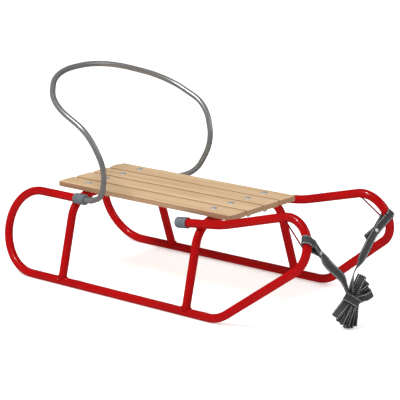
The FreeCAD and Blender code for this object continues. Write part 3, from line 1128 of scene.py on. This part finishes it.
@dataclass
class PullStrap:
    """The whole pull strap: two leads, two bands and the tied hank."""

    finishes: Finishes
    waist: tuple[float, float, float] = (19.0, -18.0, 55.0)
    hank_axis: tuple[float, float, float] = (6.0, 49.0, 87.0)
    hank_spread: tuple[float, float, float] = (100.0, 93.0, 0.0)
    wrap_wide: float = 13.0 * MM
    wrap_deep: float = 9.0 * MM
    wrap_turns: float = 1.8
    wrap_start: float = 250.0
    wrap_steps: int = 64
    wrap_tilt: float = -10.0
    wrap_climb: float = 2.4
    wrap_layer: float = 1.9 * MM
    wrap_flare: float = 0.06
    fold_tail: float = 6 * MM
    fold_root: float = 0.95 * MM
    fold_neck: float = 1.1 * MM
    fold_twist: float = 1.6
    root_twist: float = 0.35

    def __post_init__(self) -> None:
        """Set the hank's own directions and the strap's two ends."""
        self.up = Vector(self.hank_axis).normalized()
        spread = Vector(self.hank_spread)
        self.out = (spread - self.up * spread.dot(self.up)).normalized()
        self.front = self.out.cross(self.up)
        self.ends = [
            StrapEnd(
                side=Side.RIGHT,
                route=((10, -117, 190), (9, -104, 174), (9, -89, 153), (10, -71, 132),
                       (11, -48, 113), (11, -29, 93), (14, -21, 64)),
                turns=((0.4, (0.72, 0.68, 0.0)), (0.75, (0.8, 0.58, -0.1)),
                       (1.0, (0.7, 0.3, -0.75))),
                widths=((0.0, 1.0), (0.66, 1.0), (0.9, 0.6), (1.0, 0.5)),
                join_share=0.19, tab=6 * MM, tab_turn=0.0, flare=0.25, length=0.159,
            ),
            StrapEnd(
                side=Side.LEFT,
                route=((6.5, 116, 191), (-1, 92, 172), (2, 67, 157), (5, 48, 140), (8, 25, 123),
                       (11, 2, 108), (14, -10, 93), (17, -16, 79), (17, -18, 68)),
                turns=((0.5, (-0.86, 0.5, 0.1)), (0.76, (-0.12, 0.05, 1.0)),
                       (1.0, (0.6, -0.3, 0.75))),
                widths=((0.0, 1.0), (0.55, 0.95), (0.72, 0.85), (1.0, 0.9)),
                join_share=0.2, tab=30 * MM, tab_turn=-12.0, flare=0.45, length=0.184,
            ),
        ]

    def folds(self) -> list[Fold]:
        """List the hank's doubled folds.

        Returns:
            The folds, the lower fan first.
        """
        return [
            Fold((-44, -18), (0, -5), 4.5, 30, 3.0),
            Fold((-50, -7), (0, -3), -3.0, 48, 3.0),
            Fold((-53, 1), (0, -1), 3.0, 58, 3.2),
            Fold((-56, 9), (0, 2), -2.0, 68, 3.2),
            Fold((-54, 15), (0, 4), 2.5, 72, 3.4),
            Fold((-48, 20), (0, 6), -3.5, 62, 3.2),
            Fold((51, 3), (0, -1), 2.0, 8, 3.2),
            Fold((43, 14), (0, 2), -3.5, 28, 3.0),
            Fold((34, 22), (0, 4), -5.0, 34, 3.2),
            Fold((27, 31), (0, 8), 1.0, 40, 6.0, 3.0),
        ]

    def in_hank(self, up: float, out: float, front: float) -> Vector:
        """A point of the hank, in millimetres from its waist."""
        return from_nose(*self.waist) + (self.up * up + self.out * out + self.front * front) * MM

    def fold_ribbon(self, fold: Fold) -> Ribbon:
        """Make one fold's ribbon: out to its tip and back.

        Args:
            fold: the fold's sizes.

        Returns:
            The doubled ribbon.
        """
        root = self.in_hank(*fold.root, fold.depth * 0.5)
        tip = self.in_hank(*fold.tip, fold.depth)
        run = (tip - root).normalized()
        flat = run.cross(self.front).normalized()
        if flat.dot(self.out) < 0:
            flat.negate()
        turn = Matrix.Rotation(math.radians(fold.edge_on), 3, run)
        side = turn @ flat
        layer = side.cross(run).normalized()
        reach = (tip - root).length
        bend = fold.bend * MM
        puff = fold.puff * MM
        points = []
        for sign in (1, -1):
            half = [
                root - run * self.fold_tail + layer * (sign * self.fold_root),
                root + run * (reach * 0.25) + layer * (sign * self.fold_neck),
                root + run * (reach * 0.6) + layer * (sign * (bend * 0.8 + puff)),
                tip - run * (bend * 1.1) + layer * (sign * bend * 1.15),
                tip + layer * (sign * bend),
            ]
            points += half if sign > 0 else half[::-1]
        line = smooth_line(points, 8)
        spread = []
        for number in range(len(line)):
            share = 1 - abs(2 * number / (len(line) - 1) - 1)
            root_side = self.out.lerp(side, self.root_twist)
            spread.append(root_side.lerp(side, min(1.0, share * self.fold_twist)))
        return Ribbon(line, spread)

    def wrap_ribbon(self) -> Ribbon:
        """Make the turns of strap that tie the hank's waist.

        Returns:
            The wrapped ribbon.
        """
        tilt = Matrix.Rotation(math.radians(self.wrap_tilt), 3, self.front)
        up, out = tilt @ self.up, tilt @ self.out
        points, widths = [], []
        for k in range(self.wrap_steps + 1):
            share = k / self.wrap_steps
            angle = math.radians(self.wrap_start) + share * self.wrap_turns * 2 * math.pi
            grow = self.wrap_layer * share * self.wrap_turns
            place = self.in_hank(0.5 - self.wrap_climb * share, 1, 0)
            points.append(place + out * ((self.wrap_wide + grow) * math.cos(angle))
                          + self.front * ((self.wrap_deep + grow) * math.sin(angle)))
            widths.append(up + out * (self.wrap_flare * math.sin(angle)))
        return Ribbon(points, widths)

    def build_hank(self) -> list[bpy.types.Object]:
        """Make and dress the tied hank.

        Returns:
            The hank's folds and their stitches.
        """
        knot = [self.fold_ribbon(fold) for fold in self.folds()] + [self.wrap_ribbon()]
        hank = joined("strap_hank_folds", [r.mesh(f"fold_{n}") for n, r in enumerate(knot)])
        seams = joined("strap_hank_stitching",
                       [r.stitches(f"fold_seam_{n}") for n, r in enumerate(knot)])
        dress(hank, self.finishes.webbing)
        dress(seams, self.finishes.thread)
        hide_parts("strap_hank")
        return [settle(piece) for piece in (hank, seams)]

    def build_end(self, end: StrapEnd) -> None:
        """Make and dress one lead with its band and rivet, and ride them on the sled.

        Args:
            end: the half of the strap.
        """
        label = end.side.label
        lead = end.lead_ribbon()
        strap = lead.mesh(f"strap_lead_webbing_{label}")
        band_shape = end.band_ribbon(lead)
        band = band_shape.mesh(f"strap_band_webbing_{label}")
        sewing = joined(f"strap_stitching_{label}",
                        [lead.stitches("lead_seam"), band_shape.stitches("band_seam")])
        rivet = end.rivet(lead)
        dress(strap, self.finishes.webbing)
        dress(band, self.finishes.webbing)
        dress(sewing, self.finishes.thread)
        dress(rivet, self.finishes.rivet)
        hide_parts(f"strap_lead_{label}")
        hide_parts(f"strap_band_{label}")
        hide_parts(f"strap_rivet_{label}")
        for piece in (strap, band, sewing):
            settle(piece)
        settle(rivet)

    def build(self) -> None:
        hank = self.build_hank()
        for end in self.ends:
            self.build_end(end)


# ---- welded frame ------------------------------------------------------------------------
@dataclass
class WeldedFrame:
    """Painted tube frame with the beads of its welds."""

    finishes: Finishes
    track: float = 341.0 * MM
    leg_lean: float = 15.9
    foot_reach: float = 10.0 * MM
    foot_bead: float = 1.9 * MM
    rail_touch: tuple[float, float] = (120.5 * MM, 176.7 * MM)
    rail_way: tuple[float, float] = (0.6525, -0.7578)
    rail_ring: float = 5.6 * MM
    rail_bead: float = 2.0 * MM
    rod_inset: float = 1.1 * MM
    rod_ring: float = 1.5 * MM
    rod_bead: float = 0.8 * MM
    foot_steps: int = 48
    ring_steps: int = 28
    foot_ripple: float = 0.05
    ring_ripple: float = 0.1

    def foot_weld(self, name: str, x: float, side: Side) -> bpy.types.Object:
        """Make the bead where a leg stands on a runner.

        Args:
            name: the piece's name.
            x: the bridge's place.
            side: the runner's side.

        Returns:
            The saddle-shaped bead.
        """
        lean = math.radians(self.leg_lean)
        foot = Vector((x, side.value * self.track / 2, TUBE_R))
        up = Vector((0, -side.value * math.sin(lean), math.cos(lean)))
        fore = Vector((1, 0, 0))
        out = up.cross(fore)
        points, radii = [], []
        for k in range(self.foot_steps):
            turn = 2 * math.pi * k / self.foot_steps
            rise = math.sqrt(math.cos(turn) ** 2 + 0.02)
            points.append(foot + up * (self.foot_reach * rise)
                          + (fore * math.cos(turn) + out * math.sin(turn)) * self.foot_reach)
            ripple = 1 + self.foot_ripple * (-1) ** k
            radii.append(self.foot_bead * (0.45 + 0.55 * rise) * ripple)
        return bead(name, points, radii)

    def ring_weld(self, name: str, place: Vector, way: Vector, ring: float,
                  size: float) -> bpy.types.Object:
        """Make a round bead.

        Args:
            name: the piece's name.
            place: the ring's centre.
            way: the ring's axis.
            ring: radius of its centreline.
            size: radius of the bead.

        Returns:
            The bead.
        """
        across = way.orthogonal().normalized()
        along = way.normalized().cross(across)
        points, radii = [], []
        for k in range(self.ring_steps):
            turn = 2 * math.pi * k / self.ring_steps
            points.append(place + across * (ring * math.cos(turn))
                          + along * (ring * math.sin(turn)))
            radii.append(size * (1 + self.ring_ripple * (-1) ** k))
        return bead(name, points, radii)

    def rod_welds(self, side: Side) -> list[bpy.types.Object]:
        """Make the two beads at a guard rod's ends.

        Args:
            side: the rod's side.

        Returns:
            The upper bead and the lower one.
        """
        low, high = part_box(f"guard_rod_{side.label}")
        inset = self.rod_inset
        inner, outer = (low.y, high.y) if side is Side.LEFT else (high.y, low.y)
        inner += side.value * inset
        outer -= side.value * inset
        upper = Vector((low.x + inset, inner, high.z - inset))
        lower = Vector((high.x - inset, outer, low.z + inset))
        return [self.ring_weld(f"rod_weld_{side.label}_{n}", end, lower - upper, self.rod_ring,
                               self.rod_bead)
                for n, end in enumerate((upper, lower))]

    def build(self) -> None:
        """Make the welds and paint them in the frame's red."""
        for side in Side:
            beads = self.rod_welds(side)
            for end, x in (("rear", X_REAR), ("front", X_FRONT)):
                beads.append(self.foot_weld(f"foot_weld_{end}", x, side))
                place = Vector((x, side.value * self.rail_touch[0], self.rail_touch[1]))
                way = Vector((0, -side.value * self.rail_way[0], self.rail_way[1]))
                beads.append(self.ring_weld(f"rail_weld_{end}", place, way, self.rail_ring,
                                            self.rail_bead))
            welds = joined(f"weld_beads_{side.label}", beads)
            dress(welds, self.finishes.runner)
            settle(welds)


# ---- carried-over nodes ------------------------------------------------------------------
@dataclass
class Fittings:
    """Materials for the rigid nodes that keep their own shape."""

    finishes: Finishes

    def table(self) -> dict[str, bpy.types.Material]:
        """Choose the material of each kind of node.

        Returns:
            Materials by the start of the nodes' names.
        """
        return {
            "runner": self.finishes.runner,
            "bridge": self.finishes.runner,
            "guard_rod": self.finishes.rod,
            "seat_slat": self.finishes.wood,
            "bolts": self.finishes.zinc,
            "washers": self.finishes.zinc,
            "nuts": self.finishes.zinc,
            "rail": self.finishes.plastic,
            "backrest": self.finishes.hoop,
        }

    def build(self, nodes: dict[str, bpy.types.Object]) -> None:
        """Dress the nodes.

        Args:
            nodes: the frame's nodes by name.
        """
        for name, node in nodes.items():
            for start, material in self.table().items():
                if name.startswith(start):
                    dress(node, material)
                    LOG.info("%s: %s", name, material.name)


def main() -> None:
    """Build the toboggan's looks."""
    logging.basicConfig(level=logging.INFO, format="%(name)s: %(message)s")
    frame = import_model()
    Studio().build()
    finishes = Finishes()
    PullStrap(finishes).build()
    WeldedFrame(finishes).build()
    Fittings(finishes).build(frame["nodes"])
    deselect_all()


if __name__ == "__main__":
    main()
